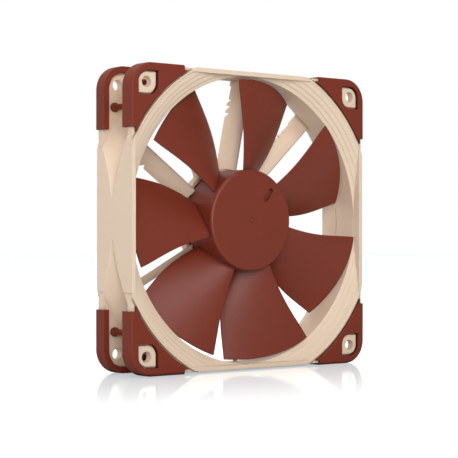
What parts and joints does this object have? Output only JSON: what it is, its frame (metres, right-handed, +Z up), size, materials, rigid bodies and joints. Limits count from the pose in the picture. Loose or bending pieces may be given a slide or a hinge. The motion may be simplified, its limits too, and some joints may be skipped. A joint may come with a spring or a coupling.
{
  "type": "case fan",
  "caption": "Square axial cooling fan with a ducted frame, stepped inlet, swept impeller blades, notched guide vanes and soft corner pads, driven by a brushless motor in its hub.",
  "frame": {"origin": "centre of the fan, on its axis, half-way between the pads' two faces", "axes": "+Y along the air flow and the impeller's axis (intake face at -Y), +Z up as it stands on one edge, +X right as seen from the intake"},
  "size_m": [0.12, 0.025, 0.12],
  "materials": {
    "beige_plastic": "fine matte moulded texture",
    "brown_plastic": "satin moulded plastic",
    "brown_silicone": "smooth soft silicone",
    "yoke_steel": "zinc-plated drawn steel",
    "ferrite": "matt bonded ferrite",
    "shaft_steel": "ground steel",
    "brass": "turned brass",
    "porous_bronze": "oil-filled sintered bronze",
    "seal_plastic": "dark plastic",
    "white_plastic": "natural white plastic",
    "lamination_steel": "stacked laminations",
    "copper_wire": "enamelled copper wire",
    "board_green": "solder mask",
    "tinned_brass": "tinned",
    "chip_black": "moulded epoxy",
    "ceramic_parts": "ceramic chips",
    "label_silver": "blank satin film"
  },
  "bodies": {
    "housing": {"frame": "beige_plastic", "front_pad_upper_left": "brown_silicone", "front_pad_upper_right": "brown_silicone", "front_pad_lower_left": "brown_silicone", "front_pad_lower_right": "brown_silicone", "rear_pad_upper_left": "brown_silicone", "rear_pad_upper_right": "brown_silicone", "rear_pad_lower_left": "brown_silicone", "rear_pad_lower_right": "brown_silicone", "bearing_tube": "brass", "bearing_sleeve": "porous_bronze", "oil_seal": "seal_plastic", "shaft_retainer": "white_plastic", "thrust_plate": "seal_plastic", "stator_core": "lamination_steel", "front_insulator": "white_plastic", "rear_insulator": "white_plastic", "coil_1": "copper_wire", "coil_2": "copper_wire", "coil_3": "copper_wire", "coil_4": "copper_wire", "winding_pins": "tinned_brass", "circuit_board": "board_green", "hall_driver": "chip_black", "board_components": "ceramic_parts", "rear_label": "label_silver"},
    "rotor": {"impeller": "brown_plastic", "rotor_yoke": "yoke_steel", "magnet_ring": "ferrite", "shaft_boss": "brass", "shaft": "shaft_steel"}
  },
  "joints": [
    {"name": "rotor_spin", "type": "hinge", "parent": "housing", "child": "rotor", "pos_m": [0, 0, 0], "axis": [0, 1, 0], "continuous": true}
  ]
}
